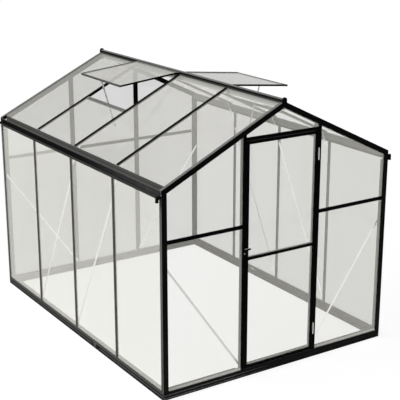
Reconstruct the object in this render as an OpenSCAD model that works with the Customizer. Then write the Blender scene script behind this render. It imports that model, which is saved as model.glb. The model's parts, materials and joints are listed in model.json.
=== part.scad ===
// Polycarbonate greenhouse with a pitched roof, a hinged front door and two roof vents.
// Millimetres. X runs across the gable, Y from the door to the back, Z up from the ground.
// The origin is the middle of the plan at ground level.

/* [Overall] */
// Width over the side walls
width = 1939; // [1700:1:2200]
// Length over the two gables
length = 2611; // [2300:1:2900]
// Height of the roof's outer plane at the side walls
eave_h = 1481; // [1420:1:1560]
// Height of the roof's outer plane at the ridge
ridge_h = 1952; // [1880:1:2060]
// Number of glazing bays along each side
side_bays = 4; // [4:1:6]

/* [Frame sections] */
// Wall of the extruded sections
wall_t = 2; // [1.5:0.5:3]
// Width of the corner posts' and rafters' faces on the gables
leg = 39; // [30:1:44]
// Width of the corner posts' and rafters' faces on the side walls and the roof
side_leg = 28; // [26:1:32]
// Depth of the gable frames from the outer face to the inner flange
gable_depth = 34; // [34:1:38]
// Distance from the outer edge to the web of the corner posts and rafters
corner_web = 23; // [20:1:26]
// Distance from the outer edge to the far side of their inner flange
corner_flange = 42; // [38:1:46]
// Width of the inner flange of a gable post
post_flange = 29; // [24:1:34]
// Width of the outer cap of a glazing bar
cap_w = 24; // [20:1:30]
// Depth of a glazing bar
bar_depth = 18; // [16:1:22]
// Width of the pane seat behind the panes
seat_w = 20; // [16:1:24]
// Thickness of the pane seat
seat_t = 2; // [1.5:0.5:3]
// Height of the horizontal gable rails
rail_w = 24; // [18:1:30]
// Height of the middle of the gable rails
rail_h = 1124; // [1050:1:1180]

/* [Panes] */
// Thickness of a polycarbonate pane
pane_t = 4; // [3:0.5:6]
// Play between a pane's edge and the section that holds it
pane_play = 2; // [1:0.5:3]
// Slack between a pane's face and the section that holds it
pane_slack = 0.1; // [0.05:0.05:0.3]

/* [Base] */
// Height of the base rails
base_h = 60; // [50:1:80]
// Depth of the base rails
base_depth = 38; // [36:1:60]
// Height of the lip along the inside of the base rails
base_lip = 4; // [3:1:16]
// Depth of the two grooves along the outer face
groove = 3; // [2:0.5:3.5]
// Height of the lower groove
groove_low_h = 13; // [10:1:18]
// Height of the upper groove
groove_high_h = 35; // [28:1:42]

/* [Eave gutters] */
// Distance from the eave height down to the gutter's lower edge
gutter_drop = 68; // [62:1:76]
// Distance from the eave height down to the gutter's outer lip
gutter_lip = 5; // [3:1:10]
// Depth of the channel
gutter_depth = 42; // [36:1:44]
// Distance from the gutter's lower edge up to the channel's floor
gutter_rise = 30; // [24:1:36]
// Depth of the pocket that takes the wall panes
gutter_pocket = 14; // [10:1:18]
// Depth of the cove along the gutter's face
gutter_cove = 5; // [3:0.5:6]
// Height of the nose under the gutter's outer lip
gutter_nose = 6; // [4:1:10]
// Outer diameter of the outlets
outlet_d = 22; // [18:1:24]
// Bore of the outlets
outlet_bore = 16; // [12:1:17]
// Distance of an outlet's mouth from the wall
outlet_reach = 26; // [22:1:36]
// Length of an outlet below its arm
outlet_drop = 34; // [28:1:50]
// Distance of an outlet's middle from the gable's face
outlet_inset = 13; // [12:1:14]

/* [Ridge] */
// Half width of the ridge flashing
ridge_wing = 20; // [20:1:40]
// Height of the ridge web
ridge_web = 55; // [48:1:70]
// Thickness of the ridge web
ridge_web_t = 6; // [4:1:8]
// Width of the foot under the web
ridge_foot = 28; // [20:1:36]
// Half width of the ridge head
ridge_head = 16; // [15:1:20]
// Height of the ridge head over the roof's apex
ridge_top = 14; // [13:1:22]
// Chamfer along the ridge head
ridge_chamfer = 2; // [1:0.5:3]
// Depth of the lips that hold the vents' beads
ridge_lip = 3; // [2:0.5:3.5]
// Height by which the end caps stand over the ridge head
ridge_cap_rise = 13; // [8:1:16]
// Width by which the end caps stand out beside the ridge head
ridge_cap_side = 2.5; // [1:0.5:4]
// How far the end caps stand out from the gables
ridge_cap_out = 4; // [2:1:8]

/* [Door] */
// Distance from the roof plane over the door posts down to the header's upper edge
header_drop = 56; // [54:1:90]
// Height of the header
header_w = 22; // [18:1:26]
// Gap between the door and what is round it
door_gap = 5; // [5:0.5:8]
// Width of the door's stiles and rails
stile_w = 21; // [18:1:30]
// Depth of the door
door_depth = 26; // [20:1:26]
// Height of the middle of the door's middle rail
door_rail_h = 885; // [700:1:1000]
// Width of the stop behind the door's edge
stop_w = 10; // [8:1:16]
// Distance of a hinge's middle from the door's upper or lower end
hinge_inset = 165; // [100:1:250]
// Length of a hinge
hinge_l = 80; // [60:2:100]
// Height of the door handle's spindle
handle_h = 962; // [920:1:1050]
// Length of the turning bar of the handle
handle_l = 48; // [36:1:56]
// Height of the handle's back plate
rose_h = 56; // [40:1:70]

/* [Vents] */
// Length of a vent from its hinge to its free edge
vent_l = 530; // [400:1:620]
// Angle to which the vents stand open
vent_open = 20; // [5:1:35]
// Width of the vent's edge channels
vent_edge = 12; // [10:1:24]
// Depth of the drip lip under the vent's free edge
vent_drip = 5; // [3:1:12]
// Distance along the roof from the closed vent's free edge to the sill
sill_gap = 19; // [17:1:30]
// Length of a stay
stay_l = 380; // [300:1:420]
// Angle by which a stay leans towards the ridge
stay_lean = 16.5; // [10:0.5:24]
// Width of a stay
stay_w = 12; // [8:1:16]
// Thickness of a stay
stay_t = 3; // [2:0.5:5]
// Size of the knob on the stay's end and of the lug at its head
knob = 16; // [12:1:20]

/* [Braces] */
// Width of a brace
brace_w = 15; // [12:1:20]
// Thickness of a brace
brace_t = 2; // [1.5:0.5:3]
// Height of the lower end of the braces
brace_foot_h = 80; // [75:1:120]
// Height of the upper end of the side wall braces
wall_brace_h = 1275; // [1100:5:1350]
// Height of the upper end of the gable braces
gable_brace_h = 985; // [900:5:1060]
// Distance from the gutter down to the foot of an eave brace
knee_drop = 58; // [50:1:80]
// Distance of the head of an eave brace from the wall
knee_reach = 88; // [85:1:98]

/* [Hidden] */
$fn = 48;

black = [0.06, 0.06, 0.06];
bare = [0.78, 0.79, 0.80];
clear = [0.86, 0.87, 0.86, 0.4];

half_w = width / 2;
half_l = length / 2;
roof_a = atan((ridge_h - eave_h) / half_w);
// Depth of the pane's outer face, of the pane seat, and of the solid core of the corner sections
pane_d = wall_t + pane_slack;
seat_d = pane_d + pane_t + pane_slack;
core = seat_d + seat_t;
// Depth of the front face of the gables' inner flanges
flange_d = gable_depth - wall_t;
// Where the inner flange of the corner posts and rafters begins
flange_start = core + pane_play;
// The base rails are deep enough for the gable frames and their braces to stand inside the lip
rail_depth = max(base_depth, gable_depth + brace_t + wall_t);
// Grid lines of the glazing bars: the end lines lie inside the corner posts
grid_inset = 12.5;
pitch_y = (length - 2 * grid_inset) / side_bays;
pitch_x = (width - 2 * grid_inset) / 3;
// Half the sheet that a bar's web keeps free on a grid line
web_edge = wall_t / 2 + pane_play;
bar_ys = [for (i = [1:side_bays - 1]) -half_l + grid_inset + i * pitch_y];
post_x = pitch_x / 2;
gutter_bottom = eave_h - gutter_drop;
pocket_top = gutter_bottom + gutter_pocket;
gutter_floor = gutter_bottom + gutter_rise;
gutter_back = gutter_depth + wall_t;
// Upper edge of the door header
header_top = roof_z(half_w - post_x) - header_drop;
// Bays of the two vents, counted from the door: the right one is the left one turned half round
left_vent_bay = 3;
right_vent_bay = side_bays + 1 - left_vent_bay;
far = 20;

// Outer roof plane over the distance d from the left wall's outer face
function roof_z(d) = eave_h + d * tan(roof_a);
function drop(n) = n / cos(roof_a);
// Both edges of the sheet in bay i, counted from the door
function bay_y0(i) = i == 1 ? -half_l + core + pane_play : bar_ys[i - 2] + web_edge;
function bay_y1(i) = i == side_bays ? half_l - core - pane_play : bar_ys[i - 1] - web_edge;

// Strip of the left roof slope between depths n0 and n1 under the outer plane, with upright ends
module slope_strip(d0, d1, n0, n1, y0, y1) {
    translate([-half_w, y1, 0])
        rotate([90, 0, 0])
            linear_extrude(y1 - y0)
                polygon([
                    [d0, roof_z(d0) - drop(n0)],
                    [d1, roof_z(d1) - drop(n0)],
                    [d1, roof_z(d1) - drop(n1)],
                    [d0, roof_z(d0) - drop(n1)]
                ]);
}

// Everything that lies deeper than n under both roof slopes
module under_roof(n) {
    translate([0, half_l + far, 0])
        rotate([90, 0, 0])
            linear_extrude(length + 2 * far)
                polygon([
                    [-half_w - far, 0],
                    [-half_w - far, roof_z(-far) - drop(n)],
                    [0, ridge_h - drop(n)],
                    [half_w + far, roof_z(-far) - drop(n)],
                    [half_w + far, 0]
                ]);
}

// Everything above that depth n, between the depths y0 and y1 behind the front gable's face
module over_roof(n, y0, y1) {
    difference() {
        box(-half_w - far, half_w + far, -half_l + y0, -half_l + y1, base_h, ridge_h * 2);
        under_roof(n);
    }
}

module box(x0, x1, y0, y1, z0, z1) {
    translate([x0, y0, z0])
        cube([x1 - x0, y1 - y0, z1 - z0]);
}

module left_and_right() {
    children();
    mirror([1, 0, 0]) children();
}

module front_and_back() {
    children();
    mirror([0, 1, 0]) children();
}

// Section of a glazing bar: outer cap, web and pane seat; depth grows along +Y
module bar_section() {
    translate([-cap_w / 2, 0]) square([cap_w, wall_t]);
    translate([-wall_t / 2, 0]) square([wall_t, bar_depth]);
    translate([-seat_w / 2, seat_d]) square([seat_w, seat_t]);
}

// Section of a corner: outer angle, core, pane seats, and on the gable's side a web with an inner flange.
// The outer corner is the origin, X runs along the gable and Y along the side wall.
module corner_section() {
    square([leg, wall_t]);
    square([wall_t, side_leg]);
    square([core, core]);
    translate([seat_d, seat_d]) square([corner_web - seat_d + wall_t, seat_t]);
    translate([seat_d, seat_d]) square([seat_t, corner_web - seat_d]);
    translate([corner_web, seat_d]) square([wall_t, gable_depth - seat_d]);
    translate([flange_start, flange_d]) square([corner_flange - flange_start, wall_t]);
}

// Section of a base rail: outer face with two grooves, foot, shelf and inner lip
module base_section() {
    difference() {
        union() {
            square([wall_t + groove, base_h]);
            square([rail_depth, wall_t]);
            translate([0, base_h - wall_t]) square([rail_depth, wall_t]);
            translate([rail_depth - wall_t, base_h - wall_t]) square([wall_t, wall_t + base_lip]);
        }
        for (z = [groove_low_h, groove_high_h])
            polygon([[-1, z - groove], [0, z - groove], [groove, z + groove], [0, z + groove], [-1, z + groove]]);
    }
}

// Base rail of length l along +X, mitred at both ends, with its outer face on the XZ plane
module base_rail(l) {
    cut = rail_depth * 2;
    difference() {
        rotate([90, 0, 90])
            linear_extrude(l)
                base_section();
        rotate([0, 0, 45])
            translate([-cut, 0, -1])
                cube([cut * 2, cut, base_h * 2]);
        translate([l, 0, 0])
            rotate([0, 0, -45])
                translate([-cut, 0, -1])
                    cube([cut * 2, cut, base_h * 2]);
    }
}

module base_front_rail() {
    color(black) translate([-half_w, -half_l, 0]) base_rail(width);
}

module base_back_rail() {
    color(black) translate([half_w, half_l, 0]) rotate([0, 0, 180]) base_rail(width);
}

module base_left_rail() {
    color(black) translate([-half_w, half_l, 0]) rotate([0, 0, -90]) base_rail(length);
}

module base_right_rail() {
    color(black) translate([half_w, -half_l, 0]) rotate([0, 0, 90]) base_rail(length);
}

// The part behind the side legs ends under the gutters
module corner_posts() {
    color(black)
        left_and_right() front_and_back()
            intersection() {
                translate([-half_w, -half_l, base_h])
                    linear_extrude(eave_h)
                        corner_section();
                union() {
                    intersection() {
                        under_roof(leg);
                        box(-half_w, 0, -half_l, -half_l + side_leg, 0, ridge_h);
                    }
                    box(-half_w, 0, -half_l, 0, 0, gutter_bottom);
                }
            }
}

module wall_bars() {
    for (y = bar_ys)
        translate([-half_w, y, base_h])
            rotate([0, 0, -90])
                linear_extrude(gutter_bottom - base_h)
                    bar_section();
}

module left_wall_bars() {
    color(black) wall_bars();
}

module right_wall_bars() {
    color(black) mirror([1, 0, 0]) wall_bars();
}

// Gutter: lip with a nose, coved face, channel, pocket for the wall panes and back wall under the roof panes
module eave_gutter() {
    lip_z = eave_h - gutter_lip;
    translate([-half_w, half_l - side_leg, 0])
        rotate([90, 0, 0])
            linear_extrude(length - 2 * side_leg) {
                translate([0, gutter_bottom]) square([wall_t, gutter_pocket + wall_t]);
                translate([0, pocket_top]) square([core, wall_t]);
                translate([seat_d, gutter_bottom]) square([seat_t, gutter_pocket + wall_t]);
                translate([gutter_cove, pocket_top]) square([wall_t, lip_z - pocket_top]);
                translate([0, lip_z - wall_t]) square([gutter_cove + wall_t, wall_t]);
                translate([0, lip_z - gutter_nose]) square([wall_t, gutter_nose]);
                translate([gutter_cove, gutter_floor]) square([gutter_back - gutter_cove, wall_t]);
                polygon([
                    [gutter_depth, gutter_floor],
                    [gutter_back, gutter_floor],
                    [gutter_back, roof_z(gutter_back) - drop(seat_d)],
                    [gutter_depth, roof_z(gutter_depth) - drop(seat_d)]
                ]);
            }
}

module left_eave_gutter() {
    color(black) eave_gutter();
}

module right_eave_gutter() {
    color(black) mirror([1, 0, 0]) eave_gutter();
}

// Outlet elbow on the side of each corner post at the gutter's end
module gutter_outlets() {
    arm_z = gutter_floor - outlet_d / 4;
    color(black)
        left_and_right() front_and_back()
            translate([-half_w, -half_l + outlet_inset, arm_z])
                difference() {
                    union() {
                        rotate([0, -90, 0]) cylinder(d = outlet_d, h = outlet_reach);
                        translate([-outlet_reach, 0, 0]) sphere(d = outlet_d);
                        translate([-outlet_reach, 0, -outlet_drop]) cylinder(d = outlet_d, h = outlet_drop);
                    }
                    translate([-outlet_reach, 0, -outlet_drop - 1]) cylinder(d = outlet_bore, h = outlet_drop + 1);
                }
}

// Axis of the vents' hinge beads, and underside of the ridge head with its play over the beads
bead_r = 3;
bead_play = 2;
lip_t = 2.5;
hinge_x = ridge_head - lip_t - bead_r - 1.5;
hinge_z = ridge_h + bead_r + wall_t;
head_z = hinge_z + bead_r + bead_play;

// Ridge: flashing wings over the panes, web, foot, and a head with a hinge channel on both sides
module ridge_beam() {
    foot_z = ridge_h - ridge_web;
    wing_z = ridge_h - ridge_wing * tan(roof_a);
    top_z = ridge_h + ridge_top;
    color(black)
        translate([0, half_l - seat_d, 0])
            rotate([90, 0, 0])
                linear_extrude(length - 2 * seat_d) {
                    translate([-ridge_web_t / 2, foot_z]) square([ridge_web_t, top_z - ridge_chamfer - foot_z]);
                    translate([-ridge_foot / 2, foot_z - wall_t]) square([ridge_foot, wall_t]);
                    polygon([
                        [0, ridge_h],
                        [ridge_wing, wing_z],
                        [ridge_wing, wing_z - drop(wall_t)],
                        [0, ridge_h - drop(wall_t)],
                        [-ridge_wing, wing_z - drop(wall_t)],
                        [-ridge_wing, wing_z]
                    ]);
                    polygon([
                        [-ridge_head, head_z - ridge_lip],
                        [-ridge_head, top_z - ridge_chamfer],
                        [-ridge_head + ridge_chamfer, top_z],
                        [ridge_head - ridge_chamfer, top_z],
                        [ridge_head, top_z - ridge_chamfer],
                        [ridge_head, head_z - ridge_lip],
                        [ridge_head - lip_t, head_z - ridge_lip],
                        [ridge_head - lip_t, head_z],
                        [-ridge_head + lip_t, head_z],
                        [-ridge_head + lip_t, head_z - ridge_lip]
                    ]);
                }
}

// Raised cap on both ends of the ridge, with a round top
module ridge_end_caps() {
    cap_half = ridge_head + ridge_cap_side;
    round_z = ridge_h + ridge_top + ridge_cap_rise - cap_half;
    cap_foot = ridge_h - cap_half * tan(roof_a);
    color(black)
        front_and_back()
            translate([0, -half_l + seat_d, 0])
                rotate([90, 0, 0])
                    linear_extrude(seat_d + ridge_cap_out) {
                        translate([0, round_z])
                            intersection() {
                                circle(r = cap_half);
                                translate([-cap_half, 0]) square([cap_half * 2, cap_half]);
                            }
                        polygon([
                            [0, ridge_h],
                            [cap_half, cap_foot],
                            [cap_half, round_z],
                            [-cap_half, round_z],
                            [-cap_half, cap_foot]
                        ]);
                    }
}

// Gable rafter: the corner section laid along the roof slope, its roof side stopping at the ridge flashing.
// Web and inner flange begin behind the gutter.
module gable_rafter() {
    stop = half_w - ridge_wing;
    start = gutter_back + pane_play;
    y = -half_l;
    slope_strip(0, half_w, 0, leg, y, y + wall_t);
    slope_strip(0, stop, 0, wall_t, y, y + side_leg);
    slope_strip(0, stop, 0, core, y, y + core);
    slope_strip(0, stop, seat_d, corner_web + wall_t, y + seat_d, y + core);
    slope_strip(0, stop, seat_d, core, y + seat_d, y + corner_web);
    slope_strip(start, stop, corner_web, corner_web + wall_t, y + seat_d, y + gable_depth);
    slope_strip(start, stop, flange_start, corner_flange, y + flange_d, y + gable_depth);
}

module left_gable_rafters() {
    color(black) front_and_back() gable_rafter();
}

module right_gable_rafters() {
    color(black) mirror([1, 0, 0]) front_and_back() gable_rafter();
}

module roof_bars() {
    top = half_w - ridge_web_t / 2;
    cap_end = half_w - ridge_wing;
    for (y = bar_ys) {
        slope_strip(gutter_depth, cap_end, 0, wall_t, y - cap_w / 2, y + cap_w / 2);
        slope_strip(gutter_back, cap_end, 0, bar_depth, y - wall_t / 2, y + wall_t / 2);
        slope_strip(gutter_back, top, pane_d, bar_depth, y - wall_t / 2, y + wall_t / 2);
        slope_strip(gutter_back, top, seat_d, core, y - seat_w / 2, y + seat_w / 2);
    }
}

module left_roof_bars() {
    color(black) roof_bars();
}

module right_roof_bars() {
    color(black) mirror([1, 0, 0]) roof_bars();
}

// Section of a gable post: cap, web, pane seat and an inner flange that reaches by right beyond the web
module post_section(right) {
    bar_section();
    translate([-wall_t / 2, 0]) square([wall_t, gable_depth]);
    translate([-post_flange / 2, flange_d]) square([post_flange / 2 + right, wall_t]);
}

// Gable post at the left of the front gable, cut off under the rafter and its flange
module gable_post(right) {
    translate([-post_x, -half_l, base_h])
        difference() {
            linear_extrude(ridge_h) post_section(right);
            translate([post_x, half_l, -base_h]) over_roof(leg, 0, flange_d);
            translate([post_x, half_l, -base_h]) over_roof(corner_flange, flange_d, gable_depth);
        }
}

// The inner flange of the door posts reaches behind the door as its stop
module door_posts() {
    color(black) left_and_right() gable_post(cap_w / 2 + door_gap + stop_w);
}

module door_header() {
    inner = post_x - cap_w / 2;
    z0 = header_top - header_w;
    web_z = header_top - header_w / 2;
    color(black) {
        box(-inner, inner, -half_l, -half_l + wall_t, z0, header_top);
        box(-inner, inner, -half_l, -half_l + bar_depth, web_z - wall_t / 2, web_z + wall_t / 2);
        box(-inner, inner, -half_l + seat_d, -half_l + core, web_z, header_top);
    }
}

// Horizontal rail between x0 and x1 on the front gable
module gable_rail(x0, x1) {
    y = -half_l;
    box(x0, x1, y, y + wall_t, rail_h - rail_w / 2, rail_h + rail_w / 2);
    box(x0, x1, y, y + bar_depth, rail_h - wall_t / 2, rail_h + wall_t / 2);
    box(x0, x1, y + seat_d, y + core, rail_h - seat_w / 2, rail_h + seat_w / 2);
}

module front_gable_rails() {
    color(black) left_and_right() gable_rail(-half_w + leg, -post_x - cap_w / 2);
}

module back_gable_posts() {
    color(black) mirror([0, 1, 0]) left_and_right() gable_post(post_flange / 2);
}

module back_gable_rails() {
    color(black)
        mirror([0, 1, 0]) {
            left_and_right() gable_rail(-half_w + leg, -post_x - cap_w / 2);
            gable_rail(-post_x + cap_w / 2, post_x - cap_w / 2);
        }
}

module wall_panes() {
    for (i = [1:side_bays])
        box(-half_w + pane_d, -half_w + pane_d + pane_t, bay_y0(i), bay_y1(i),
            base_h, pocket_top - pane_play);
}

module left_wall_panes() {
    color(clear) wall_panes();
}

module right_wall_panes() {
    color(clear) mirror([1, 0, 0]) wall_panes();
}

// Distance of the vent sills from the wall, and edges of the lower pane and of the sill's cap
sill_d = half_w - (vent_l + sill_gap) * cos(roof_a);
sill_half = cap_w / 2 * cos(roof_a);

module roof_panes(vent_bay) {
    for (i = [1:side_bays])
        slope_strip(gutter_depth, i == vent_bay ? sill_d - web_edge : half_w - ridge_web_t / 2 - pane_play,
                    pane_d, pane_d + pane_t, bay_y0(i), bay_y1(i));
}

module left_roof_panes() {
    color(clear) roof_panes(left_vent_bay);
}

module right_roof_panes() {
    color(clear) mirror([1, 0, 0]) roof_panes(right_vent_bay);
}

// Gable pane between x0 and x1, from z0 up to z1 or the rafter, in the front gable
module gable_pane(x0, x1, z0, z1) {
    intersection() {
        box(x0, x1, -half_l + pane_d, -half_l + pane_d + pane_t, z0, z1);
        under_roof(core + pane_play);
    }
}

rail_low = rail_h - web_edge;
rail_high = rail_h + web_edge;

module side_gable_panes() {
    left_and_right() {
        gable_pane(-half_w + core + pane_play, -post_x - web_edge, base_h, rail_low);
        gable_pane(-half_w + core + pane_play, -post_x - web_edge, rail_high, ridge_h);
    }
}

module front_gable_panes() {
    over_header = header_top - header_w / 2 + web_edge;
    color(clear) {
        side_gable_panes();
        gable_pane(-post_x + web_edge, post_x - web_edge, over_header, ridge_h);
    }
}

module back_gable_panes() {
    color(clear)
        mirror([0, 1, 0]) {
            side_gable_panes();
            gable_pane(-post_x + web_edge, post_x - web_edge, base_h, rail_low);
            gable_pane(-post_x + web_edge, post_x - web_edge, rail_high, ridge_h);
        }
}

// Flat strip in the XZ plane from point a to point b, thick along +Y
module strip(a, b, w, t) {
    run = b - a;
    translate([a[0], 0, a[1]])
        rotate([0, -atan2(run[1], run[0]), 0])
            translate([-w, 0, -w / 2])
                cube([norm(run) + 2 * w, t, w]);
}

// Gable brace on the inner flanges of the corner post and of the next post, cut off at both
module gable_brace() {
    x0 = -half_w + flange_start + pane_play;
    x1 = -post_x;
    y = -half_l + gable_depth;
    intersection() {
        translate([0, y, 0])
            strip([x0, gable_brace_h], [x1, brace_foot_h], brace_w, brace_t);
        box(x0, x1, y, y + brace_t, base_h, ridge_h);
    }
}

module gable_braces() {
    color(bare) front_and_back() left_and_right() gable_brace();
}

// Left wall brace from the foot of the bar at y_foot up to the bar at y_top, which lies nearer the door
module wall_brace(y_foot, y_top) {
    y0 = y_top + web_edge;
    y1 = y_foot - web_edge;
    intersection() {
        translate([-half_w + core + brace_t, 0, 0])
            rotate([0, 0, 90])
                strip([y0, wall_brace_h], [y1, brace_foot_h], brace_w, brace_t);
        box(-half_w, -half_w + bar_depth, y0, y1, base_h, gutter_bottom);
    }
}

module wall_braces() {
    for (i = [1:side_bays - 2])
        wall_brace(bar_ys[i], bar_ys[i - 1]);
}

module left_wall_braces() {
    color(bare) wall_braces();
}

module right_wall_braces() {
    color(bare) rotate([0, 0, 180]) wall_braces();
}

// Short brace on the side of a wall bar's web and a roof bar's web, clear of the gutter
module eave_braces() {
    mid = (core + bar_depth) / 2;
    low = [-half_w + mid, gutter_bottom - knee_drop];
    high = [-half_w + knee_reach, roof_z(knee_reach) - drop(mid)];
    color(bare)
        left_and_right()
            for (y = bar_ys)
                intersection() {
                    translate([0, y + wall_t / 2, 0])
                        strip(low, high, brace_w, brace_t);
                    under_roof(core + pane_slack);
                    box(-half_w + core, 0, -half_l, half_l, low[1] - brace_w, ridge_h);
                }
}

// Vents: the leaf is drawn along +X from its hinge, with its thickness along Z, and turned to its place
leaf_half = pane_t / 2 + wall_t;
leaf_neck = 16;

module place_left_leaf(bay) {
    y0 = -half_l + grid_inset + (bay - 1) * pitch_y + wall_t;
    translate([-hinge_x, y0, hinge_z])
        mirror([1, 0, 0])
            rotate([0, roof_a - vent_open, 0])
                children();
}

module place_leaves() {
    place_left_leaf(left_vent_bay) children();
    mirror([1, 0, 0]) place_left_leaf(right_vent_bay) children();
}

leaf_w = pitch_y - 2 * wall_t;

// Extrude a section drawn in the leaf's X and Z along the leaf's width
module across_leaf(y0, y1) {
    translate([0, y1, 0])
        rotate([90, 0, 0])
            linear_extrude(y1 - y0)
                children();
}

module vent_hinge_bars() {
    color(black)
        place_leaves()
            across_leaf(0, leaf_w)
                difference() {
                    union() {
                        circle(r = bead_r);
                        translate([0, -bead_r / 2]) square([leaf_neck + wall_t, bead_r]);
                        translate([leaf_neck, -leaf_half]) square([vent_edge, leaf_half * 2]);
                    }
                    translate([leaf_neck + wall_t, -pane_t / 2]) square([vent_edge, pane_t]);
                }
}

module vent_bottom_bars() {
    color(black)
        place_leaves()
            across_leaf(0, leaf_w)
                difference() {
                    union() {
                        translate([vent_l - vent_edge, -leaf_half]) square([vent_edge, leaf_half * 2]);
                        translate([vent_l - wall_t, -leaf_half - vent_drip]) square([wall_t, vent_drip + wall_t]);
                    }
                    translate([vent_l - vent_edge - wall_t, -pane_t / 2]) square([vent_edge, pane_t]);
                }
}

module vent_side_bars() {
    x0 = leaf_neck + vent_edge;
    x1 = vent_l - vent_edge;
    color(black)
        place_leaves()
            for (side = [0, 1])
                translate([x0, side * leaf_w, 0])
                    mirror([0, side, 0])
                        difference() {
                            translate([0, 0, -leaf_half]) cube([x1 - x0, vent_edge, leaf_half * 2]);
                            translate([-far, wall_t, -pane_t / 2]) cube([vent_l, vent_edge, pane_t]);
                        }
}

module vent_panes() {
    inset = wall_t + pane_play;
    color(clear)
        place_leaves()
            translate([leaf_neck + inset, inset, -pane_t / 2])
                cube([vent_l - leaf_neck - 2 * inset, leaf_w - 2 * inset, pane_t]);
}

// Cross bar that closes the roof opening below the vent and holds the lower pane
module vent_sill(bay) {
    y0 = bar_ys[bay - 2] + cap_w / 2;
    y1 = bar_ys[bay - 1] - cap_w / 2;
    half = wall_t / 2;
    slope_strip(sill_d - sill_half, sill_d + sill_half, 0, wall_t, y0, y1);
    slope_strip(sill_d - half, sill_d + half, 0, bar_depth, y0, y1);
    slope_strip(sill_d - sill_half, sill_d, seat_d, core, y0, y1);
}

module vent_sills() {
    color(black) {
        vent_sill(left_vent_bay);
        mirror([1, 0, 0]) vent_sill(right_vent_bay);
    }
}

// Stay hanging from the middle of the vent's lower bar, with a lug above and a knob below
module vent_stays() {
    lug = knob * 0.75;
    color(bare)
        place_leaves()
            translate([vent_l - lug, leaf_w / 2, -leaf_half]) {
                translate([-lug / 2, -lug / 3, -lug]) cube([lug, lug / 1.5, lug]);
                translate([0, 0, -lug / 2])
                    rotate([0, 180 - (roof_a - vent_open) + stay_lean, 0]) {
                        translate([-stay_w / 2, -stay_t / 2, 0]) cube([stay_w, stay_t, stay_l]);
                        translate([0, knob / 2, stay_l]) rotate([90, 0, 0]) cylinder(d = knob, h = knob);
                    }
            }
}

// Door hinges: the pin's axis stands in front of the gap beside the right-hand post
door_edge = post_x - cap_w / 2 - door_gap;
axis_x = door_edge + door_gap / 2;
knuckle_r = 6;
pin_r = 2.5;
pin_play = 0.1;
axis_y = -half_l - knuckle_r - 1;
leaf_t = 2;
leaf_reach = 4;
knuckle_gap = 0.5;
door_bottom = base_h + door_gap;
door_top = header_top - header_w - door_gap;
hinge_heights = [door_bottom + hinge_inset, door_top - hinge_inset];

// Knuckle and its leaf towards dir (1 the post, -1 the door) between heights z0 and z1
module hinge_knuckle(dir, z0, z1) {
    translate([axis_x, axis_y, z0]) cylinder(r = knuckle_r, h = z1 - z0);
    link = [axis_x, axis_x + dir * (knuckle_r + leaf_reach)];
    box(min(link), max(link), -half_l - leaf_t, -half_l, z0, z1);
}

module post_hinge(h) {
    z0 = h - hinge_l / 2;
    z1 = h + hinge_l / 2;
    third = hinge_l / 3;
    plate = [axis_x + knuckle_r + knuckle_gap, axis_x + knuckle_r + leaf_reach];
    hinge_knuckle(1, z0, z0 + third - knuckle_gap);
    hinge_knuckle(1, z1 - third + knuckle_gap, z1);
    box(plate[0], plate[1], -half_l - leaf_t, -half_l, z0, z1);
    translate([axis_x, axis_y, z0]) cylinder(r = pin_r, h = hinge_l);
}

module post_hinges() {
    color(bare) for (h = hinge_heights) post_hinge(h);
}

module door_hinge(h) {
    third = hinge_l / 3;
    z0 = h - hinge_l / 2;
    plate = [axis_x - knuckle_r - leaf_reach, axis_x - knuckle_r - knuckle_gap];
    difference() {
        union() {
            hinge_knuckle(-1, h - third / 2, h + third / 2);
            box(plate[0], plate[1], -half_l - leaf_t, -half_l, z0, z0 + hinge_l);
        }
        translate([axis_x, axis_y, z0]) cylinder(r = pin_r + pin_play, h = hinge_l);
    }
}

module door_hinges() {
    color(bare) for (h = hinge_heights) door_hinge(h);
}

groove_d = stile_w / 2;
pane_y = wall_t;

// Section of a stile: a bar with a groove for the pane in its inner face, which looks along +X
module stile_section() {
    difference() {
        square([stile_w, door_depth]);
        translate([stile_w - groove_d, pane_y]) square([groove_d + 1, pane_t]);
    }
}

module door_stiles() {
    color(black)
        left_and_right()
            translate([-door_edge, -half_l, door_bottom])
                linear_extrude(door_top - door_bottom)
                    stile_section();
}

// Rail between the stiles from height z, with a pane groove below and above as asked
module door_rail(z, below, above) {
    inner = door_edge - stile_w;
    depth = stile_w / 3;
    difference() {
        box(-inner, inner, -half_l, -half_l + door_depth, z, z + stile_w);
        if (below)
            box(-inner - 1, inner + 1, -half_l + pane_y, -half_l + pane_y + pane_t, z - 1, z + depth);
        if (above)
            box(-inner - 1, inner + 1, -half_l + pane_y, -half_l + pane_y + pane_t,
                z + stile_w - depth, z + stile_w + 1);
    }
}

mid_rail_z = door_rail_h - stile_w / 2;

module door_rails() {
    color(black) {
        door_rail(door_bottom, false, true);
        door_rail(mid_rail_z, true, true);
        door_rail(door_top - stile_w, true, false);
    }
}

module door_pane(z0, z1) {
    edge = door_edge - stile_w + groove_d - pane_play;
    box(-edge, edge, -half_l + pane_y, -half_l + pane_y + pane_t, z0, z1);
}

module door_panes() {
    hold = stile_w / 3 - pane_play;
    color(clear) {
        door_pane(door_bottom + stile_w - hold, mid_rail_z + hold);
        door_pane(mid_rail_z + stile_w - hold, door_top - stile_w + hold);
    }
}

// Turning handle: a plate on the left stile, and a cross bar whose spindle runs in it
rose_w = 14;
rose_t = 6;
rose_foot_w = 8;
rose_inset = 1;
spindle_r = 4;
grip_w = 12;
grip_t = 10;
neck_l = 5;
// Share of the bar that lies on the post's side of the spindle
long_arm = 0.62;
handle_x = -door_edge + rose_inset + rose_w / 2;

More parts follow.
